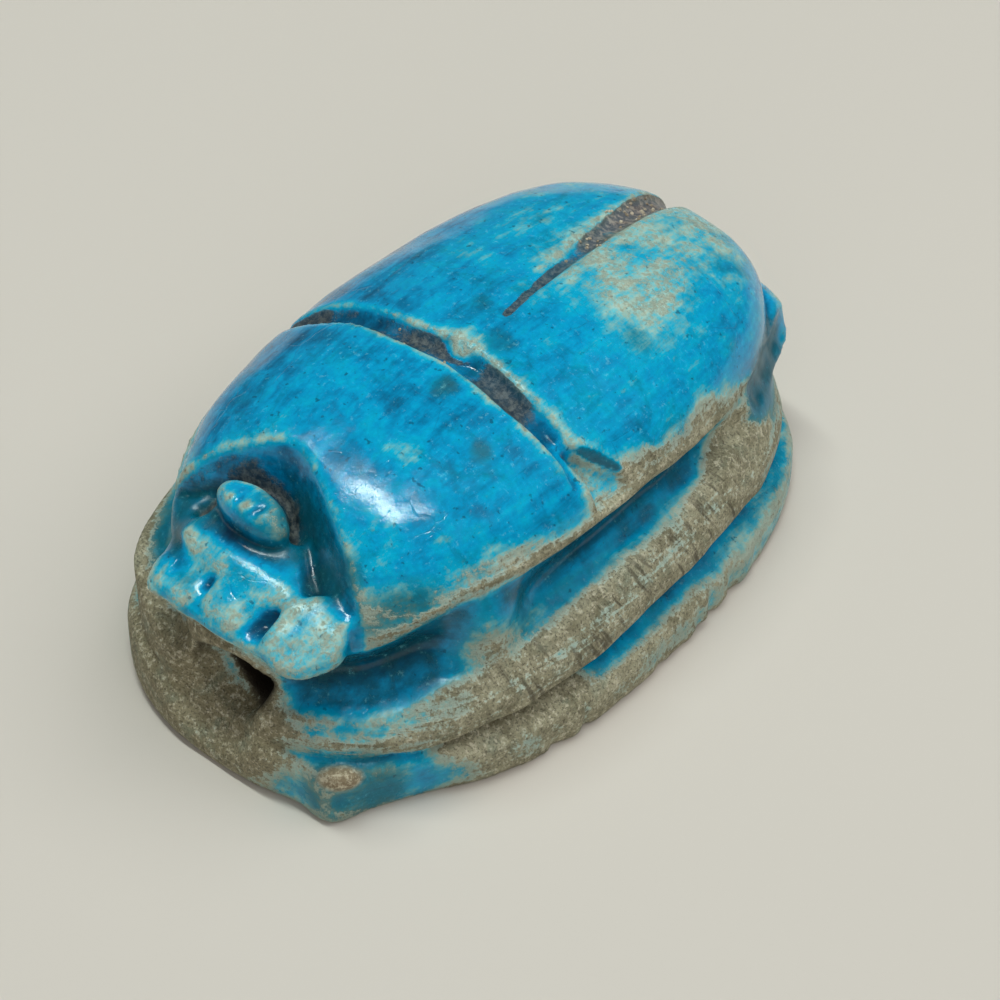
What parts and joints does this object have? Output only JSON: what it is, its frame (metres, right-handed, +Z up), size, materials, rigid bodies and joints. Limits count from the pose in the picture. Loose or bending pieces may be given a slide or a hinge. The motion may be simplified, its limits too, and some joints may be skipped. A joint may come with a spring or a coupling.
{
  "type": "scarab amulet",
  "caption": "Glazed stone scarab amulet on an oval base, with a domed back, carved head and legs, and a bore running lengthwise",
  "frame": {"origin": "on the underside of the base, under the middle of the bounding box", "axes": "+Y runs from the head to the tail, +X to the beetle's left side, +Z up through the back"},
  "size_m": [0.0146, 0.022, 0.0084],
  "materials": {
    "glazed_stone": "glossy turquoise glaze over carved stone, worn to the tan stone along the edges"
  },
  "bodies": {
    "root": {"scarab": "glazed_stone"}
  },
  "joints": []
}
